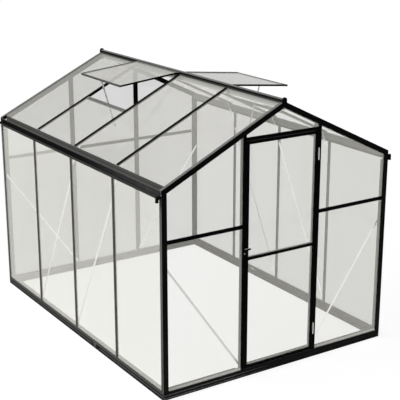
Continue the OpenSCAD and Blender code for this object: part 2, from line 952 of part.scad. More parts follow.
module handle_rose() {
    foot_z = rose_w / 2 - rose_h;
    color(black)
        translate([handle_x, -half_l, handle_h])
            rotate([90, 0, 0])
                difference() {
                    union() {
                        cylinder(d = rose_w, h = rose_t);
                        linear_extrude(rose_t)
                            polygon([
                                [-rose_w / 2, 0],
                                [-rose_foot_w / 2, foot_z],
                                [rose_foot_w / 2, foot_z],
                                [rose_w / 2, 0]
                            ]);
                    }
                    translate([0, 0, 1]) cylinder(r = spindle_r + pin_play, h = rose_t);
                }
}

module door_handle() {
    grip_z = rose_t + neck_l;
    straight = handle_l - grip_w;
    color(black)
        translate([handle_x, -half_l, handle_h])
            rotate([90, 0, 0]) {
                translate([0, 0, 2]) cylinder(r = spindle_r, h = grip_z);
                translate([-straight * long_arm, -grip_w / 2, grip_z]) cube([straight, grip_w, grip_t]);
                for (end = [-long_arm, 1 - long_arm])
                    translate([straight * end, 0, grip_z]) cylinder(d = grip_w, h = grip_t);
            }
}

base_front_rail();
base_back_rail();
base_left_rail();
base_right_rail();
corner_posts();
left_wall_bars();
right_wall_bars();
left_eave_gutter();
right_eave_gutter();
gutter_outlets();
ridge_beam();
ridge_end_caps();
left_gable_rafters();
right_gable_rafters();
left_roof_bars();
right_roof_bars();
door_posts();
door_header();
front_gable_rails();
back_gable_posts();
back_gable_rails();
left_wall_panes();
right_wall_panes();
left_roof_panes();
right_roof_panes();
front_gable_panes();
back_gable_panes();
gable_braces();
left_wall_braces();
right_wall_braces();
eave_braces();
vent_hinge_bars();
vent_side_bars();
vent_bottom_bars();
vent_panes();
vent_sills();
vent_stays();
post_hinges();
door_stiles();
door_rails();
door_panes();
door_hinges();
handle_rose();
door_handle();
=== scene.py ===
# %% [markdown]
# A walk-in greenhouse: black aluminium sections, clear polycarbonate panes, two open roof vents and
# a door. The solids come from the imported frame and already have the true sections. This lesson gives
# them their finishes, and adds the small fittings that a builder screws or clips on: bolts, splice
# plates, cappings and seals.

# %% Load the frame
import json
import math

import bpy
import numpy as np
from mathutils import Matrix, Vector


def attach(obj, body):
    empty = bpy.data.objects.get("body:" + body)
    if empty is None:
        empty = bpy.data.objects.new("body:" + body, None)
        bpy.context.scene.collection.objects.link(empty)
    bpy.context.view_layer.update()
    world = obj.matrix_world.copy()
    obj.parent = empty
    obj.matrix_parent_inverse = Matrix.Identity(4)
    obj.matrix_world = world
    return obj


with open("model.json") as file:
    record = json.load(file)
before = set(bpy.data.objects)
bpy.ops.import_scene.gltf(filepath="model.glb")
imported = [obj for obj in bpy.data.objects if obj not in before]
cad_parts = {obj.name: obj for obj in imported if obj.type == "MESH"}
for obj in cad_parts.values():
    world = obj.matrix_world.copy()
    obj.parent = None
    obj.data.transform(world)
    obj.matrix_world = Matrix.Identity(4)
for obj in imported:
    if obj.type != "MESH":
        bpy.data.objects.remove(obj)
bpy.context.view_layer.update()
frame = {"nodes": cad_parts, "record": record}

nodes = frame["nodes"]

# %% [markdown]
# The photograph was taken from the left front corner, from well above head height, with a long lens.
# The camera could be set by eye. Here its place and angles come from fitting the corners of the
# frame, so that the bars land on their own pixels.

# %% Camera
SENSOR_MM = 36.0
FOCAL_PX, IMAGE_PX = 1034.9, 400
CAMERA_PLACE = (-4.196, -6.719, 3.339)
CAMERA_TILT, CAMERA_TURN = math.radians(73.07), math.radians(-33.03)


def new_object(name, data):
    """A new object with that data, linked into the scene."""
    thing = bpy.data.objects.new(name, data)
    bpy.context.scene.collection.objects.link(thing)
    return thing


camera_data = bpy.data.cameras.new("camera")
camera_data.sensor_width = SENSOR_MM
camera_data.lens = FOCAL_PX / IMAGE_PX * SENSOR_MM
camera = new_object("camera", camera_data)
camera.location = CAMERA_PLACE
camera.rotation_euler = (CAMERA_TILT, 0.0, CAMERA_TURN)
bpy.context.scene.camera = camera
print("lens", round(camera_data.lens, 2), "mm")

# %% [markdown]
# Shader maths reads best as plain expressions. The class below wraps one socket of a node tree:
# adding or multiplying wires and numbers puts a Math node into the tree, and the method `add` puts
# in any other node.

# %% Wires
# A Mix node has a set of sockets for each kind of data; these are the ones for colours.
MIX_FACTOR, MIX_LOW, MIX_HIGH, MIX_COLOUR = 0, 6, 7, 2


class Wire:
    """One socket of a shader tree; + - * ** > and abs on wires and numbers add Math nodes."""

    def __init__(self, tree, socket=None):
        self.tree, self.socket = tree, socket

    def add(self, kind, settings=None, sockets=None, out=0):
        """A new node: its settings first, then the values or links of its sockets."""
        node = self.tree.nodes.new("ShaderNode" + kind)
        for name, value in (settings or {}).items():
            setattr(node, name, value)
        for key, value in (sockets or {}).items():
            if isinstance(value, Wire):
                self.tree.links.new(value.socket, node.inputs[key])
            else:
                node.inputs[key].default_value = value
        return Wire(self.tree, node.outputs[out])

    def math(self, operation, first, second=0.0):
        """A Math node with that operation on two wires or numbers."""
        return self.add("Math", {"operation": operation}, {0: first, 1: second})

    def __add__(self, other): return self.math("ADD", self, other)
    def __radd__(self, other): return self.math("ADD", other, self)
    def __sub__(self, other): return self.math("SUBTRACT", self, other)
    def __rsub__(self, other): return self.math("SUBTRACT", other, self)
    def __mul__(self, other): return self.math("MULTIPLY", self, other)
    def __rmul__(self, other): return self.math("MULTIPLY", other, self)
    def __pow__(self, other): return self.math("POWER", self, other)
    def __gt__(self, other): return self.math("GREATER_THAN", self, other)
    def __abs__(self): return self.math("ABSOLUTE", self)

    def vector(self, operation, other, out=0):
        """A Vector Math node with that operation on this wire and another wire or vector."""
        return self.add("VectorMath", {"operation": operation}, {0: self, 1: other}, out)

    def part(self, axis):
        """One of the three numbers of a vector: "X", "Y" or "Z"."""
        return self.add("SeparateXYZ", {}, {0: self}, axis)

    def ramp(self, low, high):
        """Rises smoothly from 0 to 1 while this wire goes from low to high."""
        smooth = {"interpolation_type": "SMOOTHSTEP"}
        return self.add("MapRange", smooth, {"Value": self, "From Min": low, "From Max": high})

    def past(self, limit, soft):
        """1 from the limit on and 0 before it, with a soft edge of that width just before it."""
        return self.ramp(limit - soft, limit)

    def mix(self, low, high):
        """A colour between low and high, by this wire as the factor."""
        ends = {MIX_FACTOR: self, MIX_LOW: low, MIX_HIGH: high}
        return self.add("Mix", {"data_type": "RGBA"}, ends, MIX_COLOUR)


# %% [markdown]
# Every finish is one Principled shader. A value that is the same all over is set on the shader's own
# socket. What changes over the surface comes by wires that start at Object coordinates, so a pattern
# has its true size in metres and stays with its piece.

# %% Parts of a finish
WEAR_STARTS, WEAR_FULL, WEAR_SAMPLES = 0.02, 0.30, 4


def grey(value):
    """A neutral colour of that linear value."""
    return (value, value, value, 1.0)


BLACK, WHITE = grey(0.0), grey(1.0)


def new_finish(name, **constants):
    """A material with one Principled shader: it, its shader and a wire of Object coordinates."""
    material = bpy.data.materials.new(name)
    material.use_nodes = True
    shader = material.node_tree.nodes["Principled BSDF"]
    for socket, value in constants.items():
        shader.inputs[socket.replace("_", " ")].default_value = value
    place = Wire(material.node_tree).add("TexCoord", out="Object")
    return material, shader, place


def plug(shader, socket, wire):
    """Lead a wire into a socket of the shader."""
    wire.tree.links.new(wire.socket, shader.inputs[socket])


def noise(place, scale, detail):
    """Cloudy values from 0 to 1, with scale cells to the metre."""
    return place.add("TexNoise", {}, {"Vector": place, "Scale": scale, "Detail": detail})


def bumped(shader, height, depth, strength):
    """Fine relief from a height wire, in metres of depth."""
    relief = {"Height": height, "Distance": depth, "Strength": strength}
    plug(shader, "Normal", height.add("Bump", {}, relief))


def normal_of(place):
    """The direction that the surface looks in."""
    return place.add("NewGeometry", out="Normal")


def edge_wear(place, radius):
    """About 1 along sharp edges and 0 on flats: how far a rounded normal leans from the true one."""
    soft = place.add("Bevel", {"samples": WEAR_SAMPLES}, {"Radius": radius})
    agreement = normal_of(place).vector("DOT_PRODUCT", soft, "Value")
    return (1.0 - agreement).ramp(WEAR_STARTS, WEAR_FULL)


# %% [markdown]
# The frame is powder coated in satin black. Baked powder keeps a faint orange-peel relief of about
# two millimetres, dust settles on faces that look up and painted light makes them lighter still, and
# handling wears the edges a little greyer. Faces that look along the house carry painted shade and
# keep a deep black, while the long sides keep the full tone. One flat black would look like a hole
# in the picture.

# %% Powder coat
COAT_SHADE, ALONG_FACE_SHADE = 0.115, 0.12
COAT_TINT = (1.0, 0.992, 0.965, 1.0)
COAT_GLOSS = 0.015
CLOUDS_PER_M, DUST_PER_M, PEEL_PER_M = 5.0, 38.0, 620.0
COAT_BASE, CLOUD_GAIN, WORN_GAIN, WORN_RADIUS = 0.86, 0.28, 0.35, 0.0012
COAT_ROUGH, CLOUD_ROUGH, PEEL_ROUGH, DUST_ROUGH = 0.38, 0.14, 0.04, 0.12
PEEL_DEPTH, PEEL_STRENGTH = 0.0003, 0.18
LOOKS_UP, LOOKS_ALONG = (0.35, 1.0), (0.6, 0.95)


def make_coat(name, shade, dust_and_light=0.45, marks=None):
    """Black coat: tone = shade times the sum of base, clouds, dust with painted top light and worn
    edges, times painted shade on faces that look along the house, and times the marks of one piece."""
    material, shader, place = new_finish(name, Specular_IOR_Level=COAT_GLOSS)
    clouds, peel = noise(place, CLOUDS_PER_M, 3.0), noise(place, PEEL_PER_M, 1.0)
    upward = normal_of(place).part("Z").ramp(*LOOKS_UP)
    # Dust on faces that look up, with painted light on those tops in the same term.
    dust_and_top_light = upward * noise(place, DUST_PER_M, 4.0) * (2.0 * dust_and_light)
    tone = COAT_BASE + clouds * CLOUD_GAIN + dust_and_top_light + edge_wear(place, WORN_RADIUS) * WORN_GAIN
    # Painted shade: faces that look along the house keep only a share of the tone.
    gable = abs(normal_of(place).part("Y")).ramp(*LOOKS_ALONG)
    tone = tone * (1.0 - gable * (1.0 - ALONG_FACE_SHADE))
    if marks:
        tone = tone * marks(place)
    plug(shader, "Base Color", (tone * shade).mix(BLACK, COAT_TINT))
    rough = COAT_ROUGH + clouds * CLOUD_ROUGH + peel * PEEL_ROUGH + upward * DUST_ROUGH
    plug(shader, "Roughness", rough)
    bumped(shader, peel, PEEL_DEPTH, PEEL_STRENGTH)
    return material


# %% [markdown]
# The posts carry painted light near the ground, where the pale floor shines on them, and the inner
# legs of a corner post carry painted shade and stay darker than its outer faces. Such marks are
# functions of the place on the house, and the tone of a coat is multiplied by them.

# %% Coats of posts and gables
NEAR_GROUND = (0.05, 0.75)
POST_GLOW, GABLE_FACE_GLOW, SIDE_FACE_SHADE = 2.0, 1.8, 0.4
CORNER_SIDE, CORNER_GABLE, INNER_LEG_SHADE = (0.9665, 0.9685), (1.3025, 1.3045), 0.2


def near_ground(place):
    """1 at the ground, falling smoothly to 0 at table height."""
    return 1.0 - place.part("Z").ramp(*NEAR_GROUND)


def low_light(place):
    """Painted light from the pale floor: lighter near the ground."""
    return 1.0 + near_ground(place) * POST_GLOW


def corner_light_and_shade(place):
    """Full tone on the outer faces of a corner and painted shade on its inner legs. Near the ground,
    painted light makes the face in the gable lighter and painted shade makes the face in the long side
    darker."""
    side = abs(place.part("X")).ramp(*CORNER_SIDE)
    gable = abs(place.part("Y")).ramp(*CORNER_GABLE)
    outside = place.math("MAXIMUM", side, gable) * (1.0 - INNER_LEG_SHADE) + INNER_LEG_SHADE
    return outside * (1.0 + near_ground(place) * (gable * GABLE_FACE_GLOW - SIDE_FACE_SHADE))


powder_coat = make_coat("powder_coat", COAT_SHADE)
# Painted highlight: the corner posts get a lighter copy of the coat for their faces towards the light.
corner_coat = make_coat("corner_coat", COAT_SHADE * 1.7, marks=corner_light_and_shade)
# Painted shade: the gable pieces get a much darker copy of the coat.
gable_shaded_coat = make_coat("gable_shaded_coat", COAT_SHADE * 0.16, dust_and_light=0.2, marks=low_light)
print("made", powder_coat.name, corner_coat.name, gable_shaded_coat.name)

# %% [markdown]
# Two grooves run along the base rails. On the long sides they carry painted shade and look like dark
# lines, and on the ends painted highlights make them look pale. The grooves are found by their height in
# Object coordinates, so the marks stay in them wherever the house is moved to. The shelf, the lip and
# the foot of a rail carry painted shade, and the gutters and the ridge have bands of painted light and
# shade that are found in the same way.

# %% Painted light and shade on rails, gutters and ridge
GROOVE_HEIGHTS, GROOVE_HALF = (0.013, 0.035), 0.0054
SHELF_HEIGHT, LIP_HEIGHT, FOOT_HEIGHT = 0.0598, 0.0612, 0.008
SOFT_FROM, SOFT_TO = 0.8, 1.2
LINE_FADE, SHELF_EDGE = 0.5, 0.0006
SHELF_DARK, LIP_DARK, ALL_DARK = 0.6, 0.4, 0.9
GUTTER_SHADE_BELOW, GUTTER_LIP = 1.431, 1.473
GUTTER_LIP_HALF, GUTTER_EDGE = (0.0035, 0.0045), 0.001
GUTTER_UNDER, GUTTER_LIP_DARK = 0.45, 0.3
RIDGE_SHADE_BELOW, RIDGE_WEB_BELOW, RIDGE_EDGE = 1.9635, 1.937, 0.002
RIDGE_UNDER, WEB_GAIN = 0.25, 5.0


def painted_groove_marks(gain, dark_from, lines_to=None):
    """Painted groove lines: tone times gain inside the grooves, fading out before X = lines_to;
    painted shade on the shelf, over the height dark_from and at the foot."""
    def marks(place):
        height = place.part("Z")
        inside = [1.0 - abs(height - middle).ramp(GROOVE_HALF * SOFT_FROM, GROOVE_HALF * SOFT_TO)
                  for middle in GROOVE_HEIGHTS]
        lines = inside[0] + inside[1]
        if lines_to is not None:
            lines = lines * (1.0 - place.part("X").past(lines_to, LINE_FADE))
        shelf = height.past(SHELF_HEIGHT, SHELF_EDGE) * SHELF_DARK
        lip = height.past(dark_from, SHELF_EDGE) * LIP_DARK
        painted_shade = shelf + lip + 1.0 - height.ramp(FOOT_HEIGHT * SOFT_FROM, FOOT_HEIGHT)
        return (1.0 + lines * (gain - 1.0)) * (1.0 - painted_shade * ALL_DARK)
    return marks


def gutter_painted_shade(place):
    """Painted shade: darker along the gutter's lower edge, under the strip in its cove, and on its outer
    lip.
    """
    height = place.part("Z")
    lip = 1.0 - abs(height - GUTTER_LIP).ramp(*GUTTER_LIP_HALF)
    over = height.past(GUTTER_SHADE_BELOW, GUTTER_EDGE)
    return (over * (1.0 - GUTTER_UNDER) + GUTTER_UNDER) * (1.0 - lip * GUTTER_LIP_DARK)


def ridge_painted_light(place):
    """Painted shade below the head of the ridge, in its hinge channels, and painted light on the web
    under it.
    """
    height = place.part("Z")
    web = 1.0 - height.past(RIDGE_WEB_BELOW, RIDGE_EDGE)
    head = height.past(RIDGE_SHADE_BELOW, RIDGE_EDGE)
    return head * (1.0 - RIDGE_UNDER) + RIDGE_UNDER + web * WEB_GAIN


side_groove_shade = painted_groove_marks(gain=0.06, dark_from=SHELF_HEIGHT)
end_groove_highlights = painted_groove_marks(gain=7.0, dark_from=LIP_HEIGHT, lines_to=0.0)
side_rail_coat = make_coat("side_rail_coat", COAT_SHADE, marks=side_groove_shade)
# Painted light: the end rails get a lighter copy of the coat, with painted highlights in their grooves.
end_rail_coat = make_coat("end_rail_coat", COAT_SHADE * 3.4, marks=end_groove_highlights)
ridge_coat = make_coat("ridge_coat", COAT_SHADE, marks=ridge_painted_light)
gutter_coat = make_coat("gutter_coat", COAT_SHADE * 1.1, dust_and_light=0.0, marks=gutter_painted_shade)
print("made", side_rail_coat.name, end_rail_coat.name, ridge_coat.name, gutter_coat.name)

# %% [markdown]
# The bars on the roof are covered with clip-on rubber capping, and fittings such as outlets, ridge
# caps and the handle are moulded plastic. Both are deeper black than the coat, and the rubber is
# duller.

# %% Rubber and moulded plastic
RUBBER_SHADE, RUBBER_ROUGH, RUBBER_GRAIN = 0.005, 0.62, 900.0
PLASTIC_SHADE, PLASTIC_GRAIN = 0.014, 1300.0
MOULDED_GLOSS, MOULDED_BASE = 0.01, 0.75
RUBBED_PER_M, RUBBED_GAIN, RUBBED_ROUGH = 14.0, 1.1, 0.1
MOULDED_RADIUS, MOULDED_EDGE_GAIN = 0.001, 0.5
GRAIN_DEPTH, GRAIN_STRENGTH = 0.0003, 0.25
DOOR_END, STRIP_REFLECTION = 1.3, 16.0
HIGHLIGHT_FACES, HIGHLIGHT_GAIN = (0.5, 0.9), 25.0


def make_moulded(name, shade, rough, grain, marks=None):
    """Moulded black: tone = shade times the sum of base, squared clouds and edges, times the marks of
    one piece; a fine leathery grain of that many cells to the metre lies on the surface."""
    material, shader, place = new_finish(name, Specular_IOR_Level=MOULDED_GLOSS)
    rubbed, pores = noise(place, RUBBED_PER_M, 4.0), noise(place, grain, 2.0)
    edges = edge_wear(place, MOULDED_RADIUS) * MOULDED_EDGE_GAIN
    tone = MOULDED_BASE + rubbed ** 2.0 * RUBBED_GAIN + edges
    if marks:
        tone = tone * marks(place)
    plug(shader, "Base Color", (tone * shade).mix(BLACK, WHITE))
    plug(shader, "Roughness", rough + rubbed * RUBBED_ROUGH)
    bumped(shader, pores, GRAIN_DEPTH, GRAIN_STRENGTH)
    return material


def painted_door_reflection(place):
    """Painted reflection: much lighter towards the door, where the sky would shine along the strip."""
    return 1.0 + (0.0 - place.part("Y")).ramp(0.0, DOOR_END) * STRIP_REFLECTION


def painted_top_highlight(place):
    """Painted highlight on the faces that look up."""
    return 1.0 + normal_of(place).part("Z").ramp(*HIGHLIGHT_FACES) * HIGHLIGHT_GAIN


rubber = make_moulded("rubber_capping", RUBBER_SHADE, RUBBER_ROUGH, RUBBER_GRAIN)
plastic = make_moulded("moulded_plastic", PLASTIC_SHADE, 0.48, PLASTIC_GRAIN)
# Painted shade: a near-black strip stands in for the shade in the gutter's cove, with painted reflection
# towards the door.
cove_shade_strip = make_moulded("cove_shade_strip", RUBBER_SHADE * 0.7, 0.6, RUBBER_GRAIN, painted_door_reflection)
handle_plastic = make_moulded("handle_plastic", PLASTIC_SHADE, 0.42, PLASTIC_GRAIN, painted_top_highlight)
print("made", rubber.name, plastic.name, cove_shade_strip.name, handle_plastic.name)

# %% [markdown]
# A vent's side channels are half hidden: the one towards the door carries painted shade and looks
# near black, and the far one shows its coat. Both are one solid node, so one finish changes over half
# way along each bay.

# %% Vent channels
BAY = 0.6465
NEAR_CHANNEL_SHADE, FAR_CHANNEL, FAR_STRIP = 0.12, 1.1, 50.0


def far_half(place):
    """1 on the far half of a bay: Y is wrapped to one bay, and what lies beyond its middle counts."""
    return place.math("FLOORED_MODULO", place.part("Y"), BAY) > BAY / 2


def channel_painted_shade(place):
    """Painted shade on the near channel; the far channel keeps about its full tone."""
    return NEAR_CHANNEL_SHADE + far_half(place) * FAR_CHANNEL


def far_strip(place):
    """Painted light: the far rubber strips look grey, though rubber is far darker."""
    return 1.0 + far_half(place) * FAR_STRIP


vent_side_coat = make_coat("vent_side_coat", COAT_SHADE, marks=channel_painted_shade)
strip_rubber = make_moulded("strip_rubber", RUBBER_SHADE, RUBBER_ROUGH, RUBBER_GRAIN, far_strip)
print("made", vent_side_coat.name, strip_rubber.name)

# %% [markdown]
# Braces and stays are bare aluminium strip. Rolling leaves fine lines along the strip, and the thin
# oxide makes it pale and half matt, so roughness follows a noise that is drawn out in one direction.
# The hinges are cast, greyer and duller.

# %% Bare aluminium
BRIGHT, ROLLED, CAST = (0.90, 1.0), (1.0, 1.0, 0.06), (1.0, 1.0, 1.0)
ALUMINIUM_TINT = (0.995, 0.998, 1.0, 1.0)
STREAKS_PER_M, STREAK_ROUGH, ROLLED_ROUGH = 240.0, 0.18, 0.28
STREAK_DEPTH, STREAK_STRENGTH = 0.0002, 0.12
METAL_RADIUS, METAL_EDGE_LOSS = 0.001, 0.06


def stretched(place, factors):
    """The same coordinates, scaled axis by axis."""
    return place.vector("MULTIPLY", factors)


def make_aluminium(name, tones, scales, rough, marks=None):
    """Mill-finish metal: streaks, drawn out by the scales of the axes, go from the low to the high
    tone and vary the gloss; sharp edges lose a little, and the marks of one piece multiply it."""
    low, high = tones
    material, shader, place = new_finish(name, Metallic=1.0)
    streaks = noise(stretched(place, scales), STREAKS_PER_M, 3.0)
    tone = streaks * (high - low) + low - edge_wear(place, METAL_RADIUS) * METAL_EDGE_LOSS
    if marks:
        tone = tone * marks(place)
    plug(shader, "Base Color", tone.mix(BLACK, ALUMINIUM_TINT))
    plug(shader, "Roughness", rough + streaks * STREAK_ROUGH)
    bumped(shader, streaks, STREAK_DEPTH, STREAK_STRENGTH)
    return material


# %% [markdown]
# Bare metal mirrors its surroundings, and a brace gets painted reflection on top: it is greyer where it
# looks at something dark. The hinges are bare on the knuckle and on the post's side, and black on the
# door's side.

# %% Metals of braces, stays and hinges
BACK_HALF, MIRRORED_DARK = (0.0, 0.1), 0.38
LOWER_WALL, MIRRORED_BASE = (0.35, 0.75), 0.26
HINGE_BARE_FROM, HINGE_EDGE, HINGE_BLACK = 0.3003, 0.0005, 0.03


def back_shade(place):
    """Painted reflection: greyer in the back half of the house, where the strip mirrors the dark gable.
    """
    return 1.0 - place.part("Y").ramp(*BACK_HALF) * MIRRORED_DARK


def left_shade(place):
    """Painted reflection: greyer on the brace left of the door, which mirrors the shaded corner."""
    left, front = (0.0 - place.part("X")) > 0.0, (0.0 - place.part("Y")) > 0.0
    return 1.0 - left * front * MIRRORED_DARK


def low_shade(place):
    """Painted reflection: greyer in the lower half of the wall, where the strip mirrors the shaded base.
    """
    return 1.0 - (1.0 - place.part("Z").ramp(*LOWER_WALL)) * MIRRORED_BASE


def bare_knuckle(place):
    """Black on the leaf at the door's side of the pin, bare on the knuckle and at the post's side."""
    return place.part("X").past(HINGE_BARE_FROM, HINGE_EDGE) * (1.0 - HINGE_BLACK) + HINGE_BLACK


aluminium = make_aluminium("bare_aluminium", BRIGHT, ROLLED, ROLLED_ROUGH)
# The shaded, leaning and gable copies of the aluminium carry painted reflection.
shaded_aluminium = make_aluminium("shaded_aluminium", BRIGHT, ROLLED, ROLLED_ROUGH, back_shade)
cast_metal = make_aluminium("cast_metal", (0.50, 0.70), CAST, 0.40, bare_knuckle)
leaning_aluminium = make_aluminium("leaning_aluminium", (0.92, 1.0), ROLLED, ROLLED_ROUGH, low_shade)
gable_aluminium = make_aluminium("gable_aluminium", BRIGHT, ROLLED, ROLLED_ROUGH, left_shade)
dull_metal = make_aluminium("dull_metal", (0.22, 0.34), CAST, 0.45)
stay_metal = make_aluminium("stay_metal", (0.42, 0.56), ROLLED, 0.30)
for metal in (aluminium, shaded_aluminium, cast_metal, leaning_aluminium, gable_aluminium,
              dull_metal, stay_metal):
    print("made", metal.name)

# %% [markdown]
# The panes are clear polycarbonate. Seen square on they almost vanish, and seen at a slant they mirror
# the pale surroundings and veil what lies behind. Layer Weight's Facing gives that slant. The outer
# skin gets a painted reflection of the open sky and the inner skin a darker painted reflection of the
# room, so the two sides get different tones: a surface looks outwards where its normal points away
# from the middle of the house. Light and mirror images pass almost unhindered.

# %% Clear panes
HOUSE_MIDDLE = (0.0, 0.0, 0.9)
PANE_TINT = (1.0, 0.992, 0.91, 1.0)
PANE_ROUGH, PANE_GLOSS = 0.10, 0.1
WIPES_PER_M, WIPE_SCALES, WIPE_TONE, WIPE_VEIL = 7.0, (1.0, 1.0, 0.25), 0.1, 0.02
LEAST_COVER, PASSING_SHARE = 0.04, 0.06
DAMP_HEIGHT, DAMP_SIDE, DAMP_VEIL = (1.05, 1.20), (-0.1, 0.7), 0.09


def rays(wire, first, *others):
    """1 for rays of any of the named kinds, and 0 for all others."""
    outputs = wire.add("LightPath").socket.node.outputs
    kind = Wire(wire.tree, outputs[first])
    for name in others:
        kind = kind.math("MAXIMUM", kind, Wire(wire.tree, outputs[name]))
    return kind


def make_pane(name, tones, outer_veil, inner_veil, mirror=0.8, painted_shade_along=None, haze=None):
    """Clear sheet: tones are (outer, inner) and each veil is (square on, slant), with
    cover = square on + slant times facing + wipe marks. A painted shade (axis, low, high, share)
    darkens the tone along an axis, and a haze adds to the veil of the inner skin."""
    material, shader, place = new_finish(name, Metallic=mirror, Roughness=PANE_ROUGH,
                                         Specular_IOR_Level=PANE_GLOSS)
    facing = place.add("LayerWeight", {}, {"Blend": 0.5}, "Facing")
    from_middle = place.vector("SUBTRACT", HOUSE_MIDDLE)
    outer = normal_of(place).vector("DOT_PRODUCT", from_middle, "Value") > 0.0

    def by_skin(outside, inside):
        """One number on the outer skin and another on the inner one."""
        return outer * (outside - inside) + inside

    wipes = noise(stretched(place, WIPE_SCALES), WIPES_PER_M, 4.0)
    # Painted reflection: the outer and the inner skin get different tones.
    tone = by_skin(*tones) * (1.0 - WIPE_TONE / 2 + wipes * WIPE_TONE)
    # Painted shade: the tone darkens along one axis.
    if painted_shade_along:
        axis, low, high, share = painted_shade_along
        tone = tone * (1.0 - place.part(axis).ramp(low, high) * share)
    plug(shader, "Base Color", tone.mix(BLACK, PANE_TINT))
    square, slant = by_skin(outer_veil[0], inner_veil[0]), by_skin(outer_veil[1], inner_veil[1])
    if haze:
        square = square + (1.0 - outer) * haze(place)
    cover = facing * slant + wipes * WIPE_VEIL + square - WIPE_VEIL / 2
    passing = rays(place, "Is Shadow Ray", "Is Glossy Ray")
    cover = place.math("MAXIMUM", cover, LEAST_COVER)
    plug(shader, "Alpha", cover * (1.0 - passing * (1.0 - PASSING_SHARE)))
    return material


def breath(place):
    """A haze inside the back gable, below the rail and towards the left, from damp on a cool pane."""
    below = 1.0 - place.part("Z").ramp(*DAMP_HEIGHT)
    return below * (1.0 - place.part("X").ramp(*DAMP_SIDE)) * DAMP_VEIL


wall_pane = make_pane("wall_pane", (0.82, 0.12), (0.064, 0.543), (0.25, -0.14))
back_pane = make_pane("back_pane", (0.82, 0.12), (0.064, 0.543), (0.21, -0.12), haze=breath)
roof_pane = make_pane("roof_pane", (0.49, 0.20), (0.095, 0.38), (0.25, -0.12), mirror=0.0,
                      painted_shade_along=("Y", -0.6, 1.3, 0.12))
vent_pane = make_pane("vent_pane", (0.415, 0.415), (-0.4175, 1.3), (-0.4175, 1.3), mirror=0.0,
                      painted_shade_along=("X", -0.1, 0.1, 0.26))
print("made", wall_pane.name, back_pane.name, roof_pane.name, vent_pane.name)

# %% [markdown]
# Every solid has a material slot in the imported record, so most finishes follow from it. The exceptions
# are named one by one.

# %% Dress the solids
finish_of_slot = {
    "black_frame": powder_coat,
    "clear_pane": wall_pane,
    "bare_aluminium": aluminium,
    "black_plastic": plastic,
}
finish_of_node = {
    "base_left_rail": side_rail_coat, "base_right_rail": side_rail_coat,
    "base_front_rail": end_rail_coat, "base_back_rail": end_rail_coat,
    "corner_posts": corner_coat, "ridge_beam": ridge_coat, "vent_side_bars": vent_side_coat,
    "left_eave_gutter": gutter_coat, "right_eave_gutter": gutter_coat,
    "left_roof_bars": rubber, "right_roof_bars": dull_metal,
    "left_roof_panes": roof_pane, "right_roof_panes": roof_pane, "vent_panes": vent_pane,
    "back_gable_panes": back_pane, "gable_braces": gable_aluminium,
    "left_wall_braces": leaning_aluminium, "right_wall_braces": shaded_aluminium,
    "vent_stays": stay_metal, "door_handle": handle_plastic,
    "post_hinges": cast_metal, "door_hinges": cast_metal,
}
for name in ("door_posts", "door_header", "front_gable_rails", "door_stiles", "door_rails",
             "back_gable_posts", "back_gable_rails"):
    finish_of_node[name] = gable_shaded_coat


def dress(piece, material):
    """Give a piece one material."""
    piece.data.materials.clear()
    piece.data.materials.append(material)


for part in frame["record"]["subparts"]:
    node, slot = part["node"], part["material_slot"]
    dress(nodes[node], finish_of_node.get(node, finish_of_slot[slot]))

# %% [markdown]
# All fittings are skins over rings of points. A ring is a closed outline, neighbouring rings are
# joined by quads, and both ends get a flat face. A bar is one outline at its two ends, and a bolt is a
# stack of circles and hexagons. Many copies share one array, so a whole set is built at once and no
# loop runs over points.

# %% Skins
HALF_W, HALF_L = 0.9695, 1.3055
EAVE, RIDGE = 1.481, 1.952
MM = 0.001
X, Y, Z = np.eye(3)
SIDES = np.array([[-1.0], [1.0]])
HALF_TURN = np.array([-1.0, -1.0, 1.0])
MIRROR_X = np.array([-1.0, 1.0, 1.0])


def skin(name, rings, material, body, ring_shaped=False):
    """A piece from copies x rings x points x 3; a ring-shaped one joins its last ring to its first."""
    rings = np.asarray(rings, float)
    number = np.arange(rings[..., 0].size).reshape(rings.shape[:3])
    if ring_shaped:
        number = np.concatenate([number, number[:, :1]], axis=1)
    ahead = np.roll(number, -1, axis=2)
    quads = np.stack([number[:, :-1], ahead[:, :-1], ahead[:, 1:], number[:, 1:]], axis=-1)
    ends = [] if ring_shaped else np.concatenate([number[:, 0, ::-1], number[:, -1]]).tolist()
    mesh = bpy.data.meshes.new(name)
    mesh.from_pydata(rings.reshape(-1, 3).tolist(), [], quads.reshape(-1, 4).tolist() + ends)
    piece = new_object(name, mesh)
    dress(piece, material)
    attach(piece, body)
    print(name, rings.shape[0], "copies,", len(mesh.polygons), "faces")


def rows(*values):
    """Points or directions as arrays with one row for each copy, all of the same length."""
    return np.broadcast_arrays(*[np.atleast_2d(np.asarray(value, float)) for value in values])


def swept(starts, ends, across, outward, outline):
    """Strips between starts and ends: outline rows are (across, outward) in mm, anticlockwise as
    seen from the end; a strip that would turn inside out is swept from its other end."""
    starts, ends, across, outward = rows(starts, ends, across, outward)
    turn = np.sum(np.cross(across, outward) * (ends - starts), axis=1)[:, None] < 0
    first, last = np.where(turn, ends, starts), np.where(turn, starts, ends)
    outline = np.asarray(outline, float) * MM
    section = outline[None, :, :1] * across[:, None] + outline[None, :, 1:] * outward[:, None]
    return np.stack([first[:, None] + section, last[:, None] + section], axis=1)


print("skins ready")

# %% [markdown]
# A dark strip along the gutter's coved face stands in for the shade in the cove. It is a low arch in
# section, so it is one arched outline swept from end to end.

